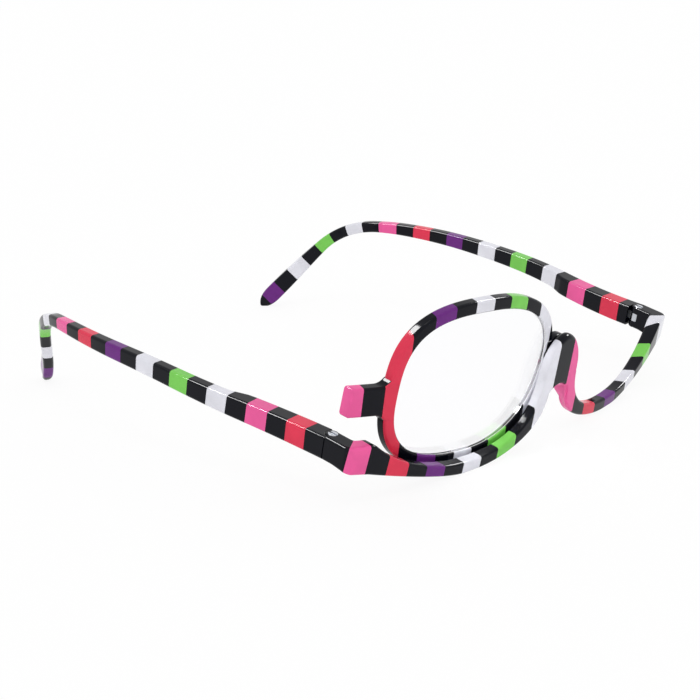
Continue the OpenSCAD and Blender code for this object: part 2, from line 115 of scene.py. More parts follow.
def acetate(name, colours, start, width):
    """Strips across the UV map's u, which runs along the sheet in metres. The colour is the strip
    number, (u - start) / width, looked up in the run of colours, which repeats; start and width are
    in mm. The pearl's clouds are 6 mm across, the polish's marks 1.4 mm and its waves 7 mm."""
    made = blank(name)
    tree = made.node_tree
    place = add(tree, "TexCoord")
    u = add(tree, "SeparateXYZ", {"Vector": place.outputs["UV"]}).outputs["X"]
    period = width * len(colours)
    run = add(tree, "Math", {0: u, 1: 1000 / period, 2: -start / period}, operation="MULTIPLY_ADD")
    turn = add(tree, "Math", {0: run.outputs[0]}, operation="FRACT")
    ramp = add(tree, "ValToRGB", {"Fac": turn.outputs[0]})
    ramp.color_ramp.interpolation = "CONSTANT"
    stops = ramp.color_ramp.elements
    stops[0].color = linear(colours[0])
    stops[1].position = 1 / len(colours)
    stops[1].color = linear(colours[1])
    for k in range(2, len(colours)):
        stops.new(k / len(colours)).color = linear(colours[k])
    cloud = add(tree, "TexNoise", {"Vector": place.outputs["Object"], "Scale": 170, "Detail": 4,
        "Distortion": 0.6})
    shade = add(tree, "MapRange", {"Value": cloud.outputs["Fac"], "From Min": 0.3, "From Max": 0.7,
        "To Min": 0.92, "To Max": 1.04})
    tint = add(tree, "HueSaturation", {"Color": ramp.outputs["Color"], "Value": shade.outputs[0]})
    polish = add(tree, "TexNoise", {"Vector": place.outputs["Object"], "Scale": 700, "Detail": 2})
    gloss = add(tree, "MapRange", {"Value": polish.outputs["Fac"], "To Min": 0.07, "To Max": 0.16})
    wave = add(tree, "TexNoise", {"Vector": place.outputs["Object"], "Scale": 140, "Detail": 1})
    bump = add(tree, "Bump", {"Height": wave.outputs["Fac"], "Strength": 0.1, "Distance": 0.0002})
    surface = add(tree, "BsdfPrincipled", {"Base Color": tint.outputs["Color"],
        "Roughness": gloss.outputs[0], "Normal": bump.outputs["Normal"], "IOR": 1.48,
        "Specular IOR Level": 0.15})
    add(tree, "OutputMaterial", {"Surface": surface.outputs["BSDF"]})
    return made


def front_depth(x):
    """Bend of the sheet: w = 10.6 (|x| / 68.5)^2.3."""
    return BEND * (np.abs(x) / END_X) ** BEND_POWER


def front_thick(x):
    """Thickness: 2.7 + 1.7 (x / 68.5)^2."""
    return THIN + THICKER * (x / END_X) ** 2


def smallest(a, b, blend):
    """Smooth minimum (a + b - sqrt((a - b)^2 + blend^2)) / 2."""
    return (a + b - np.sqrt((a - b) ** 2 + blend ** 2)) / 2


def front_edges(t):
    """Lower and upper edge of the right half, (x, v) in mm. The lower one follows the nose arch's
    quarter ellipse to t = 1, the arm's to t = 2, then v = -0.5 + 2.13 (sqrt(1 + (x - 31)^2 / 64) - 1).
    The upper one follows the dome's superellipse (power 1.8) to t = 0.6, the block's side to t = 1,
    and the opening's superellipse (power 2.87, then 1.8)."""
    quarter = np.pi / 2
    arch = np.stack([ARCH_X * np.sin(quarter * t), ARCH_V + ARCH_RISE * np.cos(quarter * t)], -1)
    arm = np.stack([RIM_X - (RIM_X - ARCH_X) * np.cos(quarter * (t - 1)),
        ARCH_V - (ARCH_V - RIM_V) * np.sin(quarter * (t - 1))], -1)
    x = RIM_X + (HINGE_X - RIM_X) * (t - 2)
    rim = np.stack([x, RIM_V + 2.13 * (np.sqrt(1 + (x - RIM_X) ** 2 / 64) - 1)], -1)
    a = np.radians(np.clip(90 * (1 - t / DOME_END), 0, 90))
    dome = np.stack([BLOCK_X * np.cos(a) ** (2 / 1.8), DOME_V + DOME_RISE * np.sin(a) ** (2 / 1.8)], -1)
    side = np.stack([BLOCK_X + 0 * t,
        DOME_V - BLOCK_DROP * np.clip((t - DOME_END) / (1 - DOME_END), 0, 1)], -1)
    a = np.radians(np.clip(8 + 82 * (t - 1), 0, 90))
    inner = np.stack([OPENING_X - (OPENING_X - BLOCK_X) * np.cos(a) ** (2 / 2.87),
        OPENING_V - OPENING_DEEP * np.sin(a) ** (2 / 2.87)], -1)
    x = OPENING_X + (HINGE_X - OPENING_X) * np.maximum(t - 2, 0)
    rise = (1 - (np.minimum(x - OPENING_X, 33.1) / 33.2) ** 1.8) ** (1 / 1.8)
    outer = np.stack([x, smallest(OPENING_V - OPENING_DEEP * rise, EAR_TOP, 0.35)], -1)
    t = t[:, None]
    low = np.where(t < 1, arch, np.where(t < 2, arm, rim))
    high = np.where(t < DOME_END, dome, np.where(t < 1, side, np.where(t < 2, inner, outer)))
    return low, high


def rounded(half_a, half_b, low, high, arc=6):
    """Rounded rectangles |a| <= half_a, |b| <= half_b, one a station, counter-clockwise: corner k is
    (r cos t, r sin t) about its centre, t from 90 k to 90 (k + 1) degrees, with r = high where a > 0
    and low where a < 0. A further point 0.15 mm along each side keeps the faces flat in the shading."""
    sizes = [np.asarray(size, float) for size in (half_a, half_b, low, high)]
    half_a, half_b, low, high = np.broadcast_arrays(*sizes)
    along_a = np.minimum(0.15, 0.3 * (2 * half_a - low - high))[:, None]
    points = []
    for k, (sign_a, sign_b) in enumerate(((1, 1), (-1, 1), (-1, -1), (1, -1))):
        radius = (high if sign_a > 0 else low)[:, None]
        along_b = np.minimum(0.15, 0.6 * (half_b[:, None] - radius))
        t = np.radians(90 * k + np.linspace(0, 90, arc + 1))
        a = sign_a * (half_a[:, None] - radius) + radius * np.cos(t)
        b = sign_b * (half_b[:, None] - radius) + radius * np.sin(t)
        first, last = (along_b, along_a) if k % 2 == 0 else (along_a, along_b)
        a = np.hstack([a[:, :1] + first * np.sin(t[0]), a, a[:, -1:] - last * np.sin(t[-1])])
        b = np.hstack([b[:, :1] - first * np.cos(t[0]), b, b[:, -1:] + last * np.cos(t[-1])])
        points.append(np.stack([a, b], -1))
    return np.concatenate(points, 1)


# The bar's sections stand between the two edges. Over the bridge, to t = 0.7, the upper edge is rounder.
rim_end = 2 + (BAR_X - RIM_X) / (HINGE_X - RIM_X)
bar_t = np.concatenate([np.linspace(0, DOME_END, 40), np.linspace(DOME_END, 1, 9)[1:-1],
    np.linspace(1, 2, 90), np.linspace(2, rim_end, 60)[1:]])
low, high = front_edges(bar_t)
middle, half = (low + high) / 2, np.linalg.norm(high - low, axis=1) / 2
along = (high - low) / (2 * half[:, None])
thick = front_thick(middle[:, 0])
crown = ROUND + np.maximum(0, 1 - bar_t / 0.7) * (0.48 * thick - ROUND)
around = rounded(half, thick / 2, ROUND, crown)
flat = middle[:, None] + along[:, None] * around[..., :1]
behind = thick[:, None] / 2 + around[..., 1]
bar = np.stack([flat[..., 0], front_depth(flat[..., 0]) + behind, flat[..., 1]], -1)

# A strip's joint leans 0.1 mm a mm of height towards the nose. In the right half it also runs 0.4 mm
# a mm of thickness towards the nose, besides standing square on the bent sheet, and the bend has
# drawn the last green strip narrower (drawn is a distance along this bar, even one along the sheet).
leant_u = flat[..., 0] * (1 + LEAN * (flat[..., 1] - LEAN_V) / LEAN_X)
skew_u = behind * (0.28 * (flat[..., 0] / 60).clip(0) ** 1.3 + 0.4 * np.clip(flat[..., 0] / 30, 0, 1))
drawn, even = [0, 51.2, 55.6, 62.2, 90], [0, 51.2, 57.2, 63.4, 91.2]

# Round the corner the sections stand across the path between the outer and the inner face: straight
# to the corner's arcs, 90 degrees less the bar's own slope round them, and straight to the hinge
# line, where the ear begins.
slope = math.atan(BEND_POWER * BEND / END_X)
t = np.concatenate([np.linspace(k, k + 1, count)[1:] for k, count in enumerate((14, 22, 10))])
turn = slope + (np.pi / 2 - slope) * np.clip(t - 1, 0, 1)
faces_at = []
for radius, inset, depth in ((OUTER_RADIUS, OUTER_RADIUS, 0.0), (INNER_RADIUS, INNER_INSET, 1.0)):
    start = END_X - inset + radius * math.sin(slope)
    begin = front_depth(start) + depth * front_thick(start)
    centre = np.array([END_X - inset, begin + radius * math.cos(slope)])
    x = BAR_X + (start - BAR_X) * np.minimum(t, 1)
    straight = np.stack([x, front_depth(x) + depth * front_thick(x)], -1)
    arc = centre + radius * np.stack([np.sin(turn), -np.cos(turn)], -1)
    back = np.stack([centre[0] + radius + 0 * t,
        centre[1] + (HINGE_W - centre[1]) * np.clip(t - 2, 0, 1)], -1)
    faces_at.append(np.where(t[:, None] <= 1, straight, np.where(t[:, None] <= 2, arc, back)))
outer, inner = faces_at
across = inner - outer
width = np.linalg.norm(across, axis=1)
bottom = low[-1, 1] + (EAR_LOW - low[-1, 1]) * np.minimum(1, t / 2.5)
top = high[-1, 1] + (EAR_TOP - high[-1, 1]) * np.minimum(1, t)
around = rounded((top - bottom) / 2, width / 2, ROUND, ROUND)
spread = ((outer + inner) / 2)[:, None] + (across / width[:, None])[:, None] * around[..., 1:]
corner = np.stack([spread[..., 0], spread[..., 1], (top + bottom)[:, None] / 2 + around[..., 0]], -1)
steps = np.diff(np.vstack([[[BAR_X, front_depth(BAR_X)]], outer]), axis=0)
path = BAR_X + np.cumsum(np.linalg.norm(steps, axis=1))

# The last black strip runs on to the ear, so distances along the sheet stop short of the next strip.
LAST_U, EAR_U = 74, 72.0
corner_u = np.minimum(path[:, None] + LEAN * (corner[..., 2] - LEAN_V), LAST_U)
corner_skew = (width[:, None] / 2 + around[..., 1]) * 0.69 * np.maximum(0, 1 - t / 1.5)[:, None]

# The ear is a half round of radius 1.8 about the hinge line, set in from the outer face.
s = EAR_RADIUS * np.sin(np.linspace(0, np.pi / 2, 12))
wide = np.maximum(np.sqrt(EAR_RADIUS ** 2 - s ** 2), 0.12)
tall = EAR_TOP - EAR_V - 0.35 * (1 - np.sqrt(1 - np.minimum(s / EAR_RADIUS, 0.999) ** 8))
edge = np.minimum(0.5, 0.8 * wide)
around = rounded(tall, wide, edge, edge)
ear = np.stack([HINGE_X - around[..., 1], np.repeat(HINGE_W + s[:, None], around.shape[1], 1),
    EAR_V + around[..., 0]], -1)
ear_u = np.full(ear.shape[:2], EAR_U)


def leaning(flat):
    """Points of the leaning front (x across, w back, v up its plane) in the model: the plane leans
    13.05 degrees, y = w cos - v sin - 70.587 and z = w sin + v cos - 0.309."""
    x, w, v = np.moveaxis(np.asarray(flat, float), -1, 0)
    return np.stack([x, w * math.cos(TILT) - v * math.sin(TILT),
        w * math.sin(TILT) + v * math.cos(TILT)], -1) - FOOTPRINT


def settled(points):
    """Points below the table are moved up to it, z = max(z, 0): the feet are worn flat there."""
    return np.concatenate([points[..., :2], np.maximum(points[..., 2:], 0)], -1)


def skin(loops, closed=False):
    """Quads between neighbouring loops (stations, points, 3) in mm, as vertices and faces that look
    outwards. The ends are closed by one face each, or the last loop joins the first."""
    stations, count = loops.shape[:2]
    i, k = np.meshgrid(np.arange(stations if closed else stations - 1), np.arange(count), indexing="ij")
    j, n = (i + 1) % stations, (k + 1) % count
    quads = np.stack([i * count + k, i * count + n, j * count + n, j * count + k], -1)
    faces = quads.reshape(-1, 4).tolist()
    if not closed:
        faces.append(list(range(count))[::-1])
        faces.append(list(range((stations - 1) * count, stations * count)))
    points = loops.reshape(-1, 3)
    a, b, c, d = (points[quads[..., corner]] - points.mean(0) for corner in range(4))
    if np.einsum("ijk,ijk->", a, np.cross(b, c) + np.cross(c, d)) < 0:
        faces = [face[::-1] for face in faces]
    return points, faces


def piece(name, shells, material, body, strips=None, sharp=40):
    """One object from closed shells (vertices in mm, faces), sharp where faces meet at more than sharp
    degrees. strips holds each vertex's distance along the laminated sheet in mm, which becomes the UV
    map's u in metres."""
    points = np.concatenate([shell[0] for shell in shells]) / 1000
    starts = np.cumsum([0] + [len(shell[0]) for shell in shells])
    faces = [[v + start for v in face] for start, shell in zip(starts, shells) for face in shell[1]]
    mesh = bpy.data.meshes.new(name)
    mesh.from_pydata(points.tolist(), [], faces)
    if strips is not None:
        corners = np.empty(len(mesh.loops), int)
        mesh.loops.foreach_get("vertex_index", corners)
        u = np.asarray(strips)[corners] / 1000
        uv = np.stack([u, 0 * u], -1).ravel()
        mesh.uv_layers.new(name="strips").uv.foreach_set("vector", uv)
    mesh.shade_smooth()
    mesh.set_sharp_from_angle(angle=math.radians(sharp))
    mesh.materials.append(material)
    made = bpy.data.objects.new(name, mesh)
    bpy.context.scene.collection.objects.link(made)
    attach(made, body)
    return made


front_acetate = acetate("acetate_front", front_run, start=-75.25, width=6.02)
right = np.concatenate([bar, corner, ear])
left = right[:0:-1] * [-1, 1, 1]
left_u = -np.concatenate([leant_u, corner_u, ear_u])[:0:-1]
right_u = np.concatenate([np.interp(leant_u, drawn, even) + skew_u,
    np.minimum(np.interp(corner_u, drawn, even) + corner_skew, LAST_U), ear_u])
striped_front = piece("striped_front", [skin(settled(leaning(np.concatenate([left, right]))))],
    front_acetate, "front", np.concatenate([left_u, right_u]).ravel())


def lathe(profile, centre, axis, steps=64):
    """Turned shell: the (radius, height) profile spins about the axis "w" or "v" of the leaning front,
    and its two ends are closed by flat discs."""
    radius, height = np.asarray(profile, float).T[..., None]
    angle = np.linspace(0, 2 * np.pi, steps, endpoint=False)
    a, b = radius * np.cos(angle), radius * np.sin(angle)
    h = height + 0 * angle
    rings = np.stack([a, h, b] if axis == "w" else [a, b, h], -1)
    return skin(leaning(rings + np.asarray(centre, float)))


def box(corner, opposite):
    """Closed box between two opposite corners in the leaning front."""
    low, high = np.minimum(corner, opposite), np.maximum(corner, opposite)
    shares = np.array([[x, y, z] for x in (0, 1) for y in (0, 1) for z in (0, 1)])
    sides = [[0, 1, 3, 2], [4, 6, 7, 5], [0, 4, 5, 1], [2, 3, 7, 6], [0, 2, 6, 4], [1, 5, 7, 3]]
    return leaning(low + shares * (high - low)), sides


def carve(target, shells, sharp=40):
    """Cuts closed shells out of a piece, and applies the cut."""
    for shell in shells:
        mesh = bpy.data.meshes.new("cutter")
        mesh.from_pydata((shell[0] / 1000).tolist(), [], shell[1])
        cutter = bpy.data.objects.new("cutter", mesh)
        bpy.context.scene.collection.objects.link(cutter)
        cut = target.modifiers.new("cut", "BOOLEAN")
        cut.operation = "DIFFERENCE"
        cut.solver = "MANIFOLD"
        cut.object = cutter
        applied = target.evaluated_get(bpy.context.evaluated_depsgraph_get())
        result = bpy.data.meshes.new_from_object(applied)
        target.modifiers.clear()
        target.data = result
        bpy.data.objects.remove(cutter)
    target.data.shade_smooth()
    target.data.set_sharp_from_angle(angle=math.radians(sharp))


# Each ear is slotted for the temple's knuckle, counterbored for the screw's head and bored from below
# for the nut. The bridge block is bored from behind for the pivot's insert. The radii come first, then
# the heights and the depth at which each cut ends.
KNUCKLE_ROOM, HEAD_BORE, NUT_BORE, INSERT_BORE = 2.05, 1.29, 1.22, 1.52
SLOT_LOW, SLOT_TOP, HEAD_SEAT, NUT_SEAT, INSERT_SEAT = 9.44, 11.86, 13.15, 9.05, 0.85
for side in (-1, 1):
    hinge = (side * HINGE_X, HINGE_W, 0)
    carve(striped_front, [
        lathe([(KNUCKLE_ROOM, SLOT_LOW), (KNUCKLE_ROOM, SLOT_TOP)], hinge, "v"),
        box((side * HINGE_X, 17, SLOT_LOW), (side * (HINGE_X - 3), 23, SLOT_TOP)),
        lathe([(HEAD_BORE, HEAD_SEAT), (HEAD_BORE, 15)], hinge, "v"),
        lathe([(NUT_BORE, 6), (NUT_BORE, NUT_SEAT)], hinge, "v")])
carve(striped_front, [lathe([(INSERT_BORE, INSERT_SEAT), (INSERT_BORE, 8)], (0, 0, PIVOT_V), "w")])
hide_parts("front_frame")


# Nose pads.
# Fins of the same piece, pulled out of the arms behind the nose arch while the sheet was hot. They
# start as tall as the arm's back edge and draw to a blunt, slightly splayed tip 4.8 mm further back.

PAD_X, PAD_W, PAD_V, PAD_LONG, PAD_SPLAY = 5.05, 0.4, 11.1, 4.8, 1.45  # root, length and splay
PAD_ROOT, PAD_END, PAD_WIDE = 3.2, 0.35, 1.05  # half height at the root and the tip, half width
s = np.linspace(0, 1, 26)[:, None]
angle = np.linspace(0, 2 * np.pi, 40, endpoint=False)[None]
tall = PAD_ROOT * (1 - s) ** 0.9 + PAD_END
wide = np.maximum(0.25, PAD_WIDE - 0.5 * s ** 2)
close = np.sqrt(1 - np.clip((s - 0.86) / 0.14, 0, 0.999) ** 2)
x = PAD_X + PAD_SPLAY * s + close * wide * np.cos(angle) - 0.3 * close * tall * np.sin(angle)
v = PAD_V - 0.1 * s + close * tall * np.sin(angle)
pad = np.stack([x, PAD_W + PAD_LONG * s + 0 * x, v], -1)
pads = [skin(leaning(pad)), skin(leaning(pad * [-1, 1, 1]))]
nose_pads = piece("nose_pads", pads, front_acetate, "front",
    np.concatenate([x.ravel(), -x.ravel()]))


# Temples.
# The same laminate, 5.2 mm thick at the heel that covers the hinge leaf, 3.5 mm behind it and 2.9 mm at
# the tip. Each thins to a narrow neck, bends down behind the wearer's ear and ends in a flat paddle,
# whose tip rests on the table.

LENGTH, LEAD, COUNT = 148.0, 1.5, 360  # from the hinge line, ahead of it where it is cut, stations
ROOT_X, NECK, ROOT_MORE = 66.5, 1.55, 1.45  # half heights: the neck's, and how much more at the root
PADDLE_FROM, PADDLE_TO = 1.724, 2.6
EDGE, WORN = 0.75, 0.25  # radius of the edges, and what the table has worn off the tip
temple_run = [BLACK, RED, BLACK, PINK, BLACK, WHITE, BLACK, GREEN, BLACK, WHITE, BLACK, PURPLE]
temple_acetate = acetate("acetate_temple", temple_run, start=-0.3, width=6.0)
part = (np.arange(COUNT) * (LENGTH + LEAD) / (COUNT - 1) - LEAD) / LENGTH
step = (LENGTH + LEAD) / (COUNT - 1)
at = (part[:-1] + part[1:]) / 2


def heading(part, bends):
    """Unit vector along the temple, from its rise and its outward turn in degrees. bends are the turns
    at the shares 0.66, 0.73 and 0.8, where each temple was bent by hand for the wearer's ear."""
    rise = np.radians(np.interp(part, [0, 0.203, 0.446, 0.595, 0.662, 0.73, 0.811, 1],
        [9.2, 12.5, 7, 3.7, -2.3, -18.9, -42.6, -45]))
    turn = np.radians(np.interp(part, [0, 0.182, 0.324, 0.446, 0.595, 0.66, 0.73, 0.8, 0.865, 1],
        [-0.4, 9.8, -0.1, -1.7, -12, *bends, -42, -26]))
    return np.stack([np.cos(rise) * np.sin(turn), np.cos(rise) * np.cos(turn), np.sin(rise)], -1)


root = np.array([ROOT_X, HINGE_W * math.cos(TILT) - EAR_V * math.sin(TILT),
    EAR_V * math.cos(TILT) + HINGE_W * math.sin(TILT)])
neck = NECK + ROOT_MORE * np.interp(part, [0, 0.05, 0.16, 0.3, 0.5, 0.66, 0.76],
    [1, 0.96, 0.8, 0.56, 0.3, 0.04, 0.12])
swell = (1 - np.cos(np.pi * np.clip((part - 0.76) / 0.2, 0, 1))) / 2
paddle = PADDLE_FROM + (PADDLE_TO - PADDLE_FROM) * swell
end = np.where(part < 0.96, 1, np.sqrt(1 - (0.985 * np.clip((part - 0.96) / 0.04, 0, 1)) ** 2))
half = np.where(part < 0.76, neck, paddle) * end
outside = 2.2 - 0.75 * part
inside = 1.45 + 1.55 * np.interp(part, [0, 0.165, 0.18, 0.21, 0.225, 1], [1, 1, 0.93, 0.1, 0, 0])
thick = (outside + inside) / 2 * np.maximum(end, 0.55)
edge = np.minimum(EDGE, 0.85 * np.minimum(thick, half))
around = rounded(thick, half, edge, edge)


def temple_skin(bends):
    """The right temple's loops in the model's mm: the middle line adds up the steps along heading, each
    section stands square to it, and the tail is lifted so that its tip rests on the table."""
    line = root - LEAD * heading(np.zeros(1), bends)[0]
    line = line + np.vstack([np.zeros((1, 3)), np.cumsum(step * heading(at, bends), 0)])
    ahead = heading(part, bends)
    aside = np.cross(ahead, [0, 0, 1])
    aside /= np.linalg.norm(aside, axis=1)[:, None]
    above = np.cross(aside, ahead)
    centre = line + aside * ((outside - inside) / 2)[:, None]
    loops = centre[:, None] + aside[:, None] * around[..., :1] + above[:, None] * around[..., 1:]
    loops[..., 2] += (FOOTPRINT[2] - WORN - loops[..., 2].min()) * part[:, None]
    return settled(loops - FOOTPRINT)


# The left temple's strips start a little earlier, and it is bent in sooner. Both roots are cut square
# and hollowed round the front's hinge ear.
for side, body, node, bends, stretch, offset in (
        (1, "right_temple", "temple_right", (-11.4, -10.8, -27.0), 0.985, 0.9),
        (-1, "left_temple", "temple_left", (-19.7, -25.2, -36.1), 1.0, 0.0)):
    along_u = np.maximum(0, part * LENGTH * stretch + offset)
    temple_u = np.repeat(along_u[:, None], around.shape[1], 1)
    arm = piece("striped_" + node, [skin(temple_skin(bends) * [side, 1, 1])], temple_acetate, body,
        temple_u.ravel())
    carve(arm, [box((side * 40, 5, -10), (side * 90, HINGE_W + 0.15, 40)),
        box((side * 30, 5, -10), (side * HINGE_X, HINGE_W + KNUCKLE_ROOM, 40)),
        lathe([(KNUCKLE_ROOM, -10), (KNUCKLE_ROOM, 40)], (side * HINGE_X, HINGE_W, 0), "v")])
    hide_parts(node)


# Ring.
# One oval of the laminate, 2.6 mm wide at its sides and up to 3.3 mm at its top and bottom, with a flat
# finger tab at its outer end and a round hub that turns on the bridge. It is cut from a sheet bent back
# like the front, w = 3.11 + 13.65 (|x| / 68.5)^2.17, and grooved inside for the lens.

RING_X, RING_V, RING_LEAN = 29, 22.6, math.radians(2.6)
RING_LONG, RING_HIGH = 25.8, 21.4  # half sizes of the outer edge
RING_W, RING_BEND, RING_POWER = 3.11, 13.65, 2.17
RING_SLOPE, RING_SURPLUS = 0.4324, 1.917  # the sheet's slope at x = 68.5, and the arc's extra length
ring_acetate = acetate("acetate_ring", front_run, start=-75.1, width=5.93)


def ring_sheet(flat, depth):
    """Points of the bent sheet, at w = 3.11 + 13.65 (|x| / 68.5)^2.17 + depth: flat holds places in the
    oval's own axes, which lean 2.6 degrees."""
    x = flat[..., 0] * math.cos(RING_LEAN) + flat[..., 1] * math.sin(RING_LEAN) - RING_X
    return np.stack([x, RING_W + RING_BEND * (np.abs(x) / END_X) ** RING_POWER + depth,
        RING_V - flat[..., 0] * math.sin(RING_LEAN) + flat[..., 1] * math.cos(RING_LEAN)], -1)


def ring_strips(points):
    """Distance along the sheet from the nose, negative on this side: the foot x' of the square dropped on
    the front face, less the arc's surplus 1.917 (|x'| / 68.5)^3.34, plus the laminate's own lean of
    0.042 mm a mm of height."""
    x, w, v = points[..., 0], points[..., 1], points[..., 2]
    fall = -RING_SLOPE * (np.abs(x) / END_X) ** (RING_POWER - 1)
    depth = w - RING_W - RING_BEND * (np.abs(x) / END_X) ** RING_POWER
    foot = x + depth * fall / (1 + fall ** 2)
    return foot - RING_SURPLUS * (np.abs(foot) / END_X) ** (2 * RING_POWER - 1) + 0.042 * (v - RING_V)


def ring_edge(angle):
    """Outer edge: a superellipse 25.8 by 21.4, power 2.85 outside and 2.15 towards the nose, whose
    upper inner corner is drawn out by up to 2.9 mm."""
    power = 2 / np.where(np.cos(angle) > 0, 2.15, 2.85)
    x = RING_LONG * np.sign(np.cos(angle)) * np.abs(np.cos(angle)) ** power
    y = RING_HIGH * np.sign(np.sin(angle)) * np.abs(np.sin(angle)) ** power
    up = np.maximum(0, y / RING_HIGH + 0.18)
    return np.stack([x * (1 + (x > 0) * 2.9 / RING_LONG * up ** 1.2), y], -1)


def inwards(angle, distance):
    """Point of the outer edge moved inwards square to it: the normal is the chord between the points
    half a degree either side, turned by 90 degrees."""
    run = ring_edge(angle + 0.0087) - ring_edge(angle - 0.0087)
    normal = np.stack([-run[..., 1], run[..., 0]], -1) / np.linalg.norm(run, axis=-1, keepdims=True)
    return ring_edge(angle) + normal * distance


# Distances inwards from the outer edge to the two walls, and the groove in the inner one.
RING_HALF, RING_MIDDLE, GROOVE_DEEP, GROOVE_HALF = 1.35, 1.55, 0.9, 0.65
angle = np.linspace(0, 2 * np.pi, 320, endpoint=False)[:, None]
outer_edge = -0.3 - 0.6 * np.maximum(0, -np.sin(angle))
inner_edge = 2.3 + 0.7 * np.maximum(0, np.sin(angle))
middle, wide = (outer_edge + inner_edge) / 2, (inner_edge - outer_edge) / 2
around = rounded(wide[:, 0], RING_HALF, 0.65, 0.5)
groove = np.stack([wide - GROOVE_DEEP * np.array([[0, 1, 1, 0]]),
    0 * wide + GROOVE_HALF * np.array([[-1, -1, 1, 1]])], -1)
around = np.concatenate([around, groove], 1)
inset = middle + around[..., 0]
oval = ring_sheet(inwards(angle + 0 * inset, inset[..., None]), RING_MIDDLE + around[..., 1])
oval_u = ring_strips(oval)

# On the outer wall below the tab the colour is painted shade: that downward face is given the black strip
# after the red one. Beside the tab the black strip before the red one reaches up past it. The first two
# values are distances along the sheet, inside those two black strips, and the others heights.
AFTER_RED, BEFORE_RED, TAB_LOW, TAB_TOP = -50.8, -58.5, 20.5, 26.5
wall = (around[..., 0] < 0.2 - wide) & (around[..., 1] > -0.9) & (oval[..., 0] < -45)
below, beside = oval[..., 2] < TAB_LOW, (oval[..., 2] > TAB_LOW) & (oval[..., 2] < TAB_TOP)
# Painted shade: the outer wall below the tab is coloured as the black strip, for its shade.
oval_u = np.where(wall & below, np.maximum(oval_u, AFTER_RED), oval_u)
oval_u = np.where(wall & beside, BEFORE_RED, oval_u)

# The tab runs 11.4 mm inwards from its rounded end, and flares where it joins the oval. Its sides are
# black all along from the pink end.
ROUND_END, FLARE_FROM, TAB_LONG = 0.65, 6.9, 11.4
TAB_X, TAB_V, TAB_HALF, TAB_THICK, TAB_MIDDLE = -35.7, -1.9, 3.8, 1.5, 1.6  # end, height and half sizes
run = np.concatenate([ROUND_END * (1 - np.cos(np.linspace(0, np.pi / 2, 9))),
    np.linspace(0.8, FLARE_FROM, 14), np.linspace(7, TAB_LONG, 26)])
cap = np.sqrt(np.maximum(ROUND_END ** 2 - (ROUND_END - run) ** 2, 0))
ease = np.where(run < ROUND_END, ROUND_END - cap, 0)
flare = 1.6 * np.clip((run - FLARE_FROM) / 3, 0, 1) ** 2.5
around = rounded(TAB_HALF - ease + flare, TAB_THICK - 0.8 * ease, 0.6, 0.6)
tab_flat = np.stack([np.repeat(run[:, None] + TAB_X, around.shape[1], 1), around[..., 0] + TAB_V], -1)
tab = ring_sheet(tab_flat, TAB_MIDDLE + around[..., 1])
tab_u = ring_strips(tab)
tab_u = np.where(around[..., 1] > -1.1, np.minimum(tab_u, BEFORE_RED), tab_u)

# The hub is a disc 2.4 mm thick with rounded edges and a bore for its bush, joined to the oval by a web.
HUB_FLAT, HUB_ROUND, BUSH_BORE, HUB_FRONT, HUB_BACK = 4.3, 0.5, 1.92, 3.11, 5.51
WEB_FROM, WEB_TO, WEB_HALF, WEB_THICK, WEB_MIDDLE = -4.4, -2.1, 3.8, 1.12, 4.24  # THICK is half too
turn = np.linspace(0, 2 * np.pi, 120, endpoint=False)[:, None]
corner = np.linspace(0, np.pi / 2, 8)
radius = np.concatenate([[BUSH_BORE, 3.6], HUB_FLAT + HUB_ROUND * np.sin(corner),
    HUB_FLAT + HUB_ROUND * np.cos(corner), [3.6, BUSH_BORE]])
depth = np.concatenate([[HUB_FRONT] * 2, HUB_FRONT + HUB_ROUND - HUB_ROUND * np.cos(corner),
    HUB_BACK - HUB_ROUND + HUB_ROUND * np.sin(corner), [HUB_BACK] * 2])
hub = np.stack([radius * np.cos(turn), depth + 0 * turn, PIVOT_V + radius * np.sin(turn)], -1)
around = rounded(np.full(2, WEB_HALF), np.full(2, WEB_THICK), 0.4, 0.4)
web = np.stack([np.repeat([[WEB_FROM], [WEB_TO]], around.shape[1], 1), WEB_MIDDLE + around[..., 1],
    PIVOT_V + around[..., 0]], -1)
shells = [skin(leaning(oval), closed=True), skin(leaning(tab)), skin(leaning(hub), closed=True),
    skin(leaning(web))]
strips = np.concatenate([oval_u.ravel(), tab_u.ravel(), np.zeros(hub[..., 0].size),
    np.zeros(web[..., 0].size)])
striped_ring = piece("striped_ring", shells, ring_acetate, "lens", strips)
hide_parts("lens_ring")


# Lens.
# Magnifying lens of clear acrylic, bent like the ring, whose polished edge has a tongue that snaps into
# the groove. It bulges to the front by 0.5 (1 - s^2) mm at the share s of its size.

# Cast acrylic, clear as water, with waves 11 mm long that are only just seen in its mirror images.
clear = blank("acrylic")
tree = clear.node_tree
place = add(tree, "TexCoord")
grain = add(tree, "TexNoise", {"Vector": place.outputs["Object"], "Scale": 90, "Detail": 1})
bump = add(tree, "Bump", {"Height": grain.outputs["Fac"], "Strength": 0.02, "Distance": 0.0001})
surface = add(tree, "BsdfPrincipled", {"Base Color": linear("#fefeff"), "Roughness": 0.0, "IOR": 1.49,
    "Transmission Weight": 1.0, "Normal": bump.outputs["Normal"]})
add(tree, "OutputMaterial", {"Surface": surface.outputs["BSDF"]})

